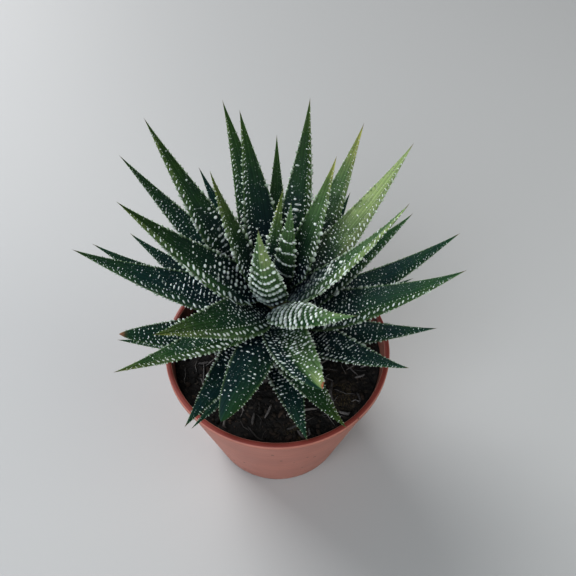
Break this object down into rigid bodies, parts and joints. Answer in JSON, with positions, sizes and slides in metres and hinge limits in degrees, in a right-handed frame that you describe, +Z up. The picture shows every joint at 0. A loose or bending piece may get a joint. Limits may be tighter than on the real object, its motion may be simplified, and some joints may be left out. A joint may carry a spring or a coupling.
{
  "type": "potted haworthia",
  "caption": "Low rosette of pointed, keeled succulent leaves with white tubercles and toothed margins, on a short stem in potting mix, in a round tapered plastic nursery pot.",
  "frame": {"origin": "the middle of the pot's flat foot, on the surface that it stands on", "axes": "+Z up along the pot's axis; the picture was taken from -Y and above, so +X is its right and +Y its back"},
  "size_m": [0.1372, 0.1187, 0.1387],
  "materials": {
    "pot": "satin",
    "soil": "matte",
    "stem": "matte",
    "leaf": "satin"
  },
  "bodies": {
    "root": {"pot": "pot", "soil": "soil", "stem": "stem", "leaf_01": "leaf", "leaf_02": "leaf", "leaf_03": "leaf", "leaf_04": "leaf", "leaf_05": "leaf", "leaf_06": "leaf", "leaf_07": "leaf", "leaf_08": "leaf", "leaf_09": "leaf", "leaf_10": "leaf", "leaf_11": "leaf", "leaf_12": "leaf", "leaf_13": "leaf", "leaf_14": "leaf", "leaf_15": "leaf", "leaf_16": "leaf", "leaf_17": "leaf", "leaf_18": "leaf", "leaf_19": "leaf", "leaf_20": "leaf", "leaf_21": "leaf", "leaf_22": "leaf", "leaf_23": "leaf", "leaf_24": "leaf", "leaf_25": "leaf", "leaf_26": "leaf", "leaf_27": "leaf", "leaf_28": "leaf", "leaf_29": "leaf", "leaf_30": "leaf", "leaf_31": "leaf", "leaf_32": "leaf", "leaf_33": "leaf", "leaf_34": "leaf", "leaf_35": "leaf", "leaf_36": "leaf", "leaf_37": "leaf", "leaf_38": "leaf", "leaf_39": "leaf"}
  },
  "joints": []
}
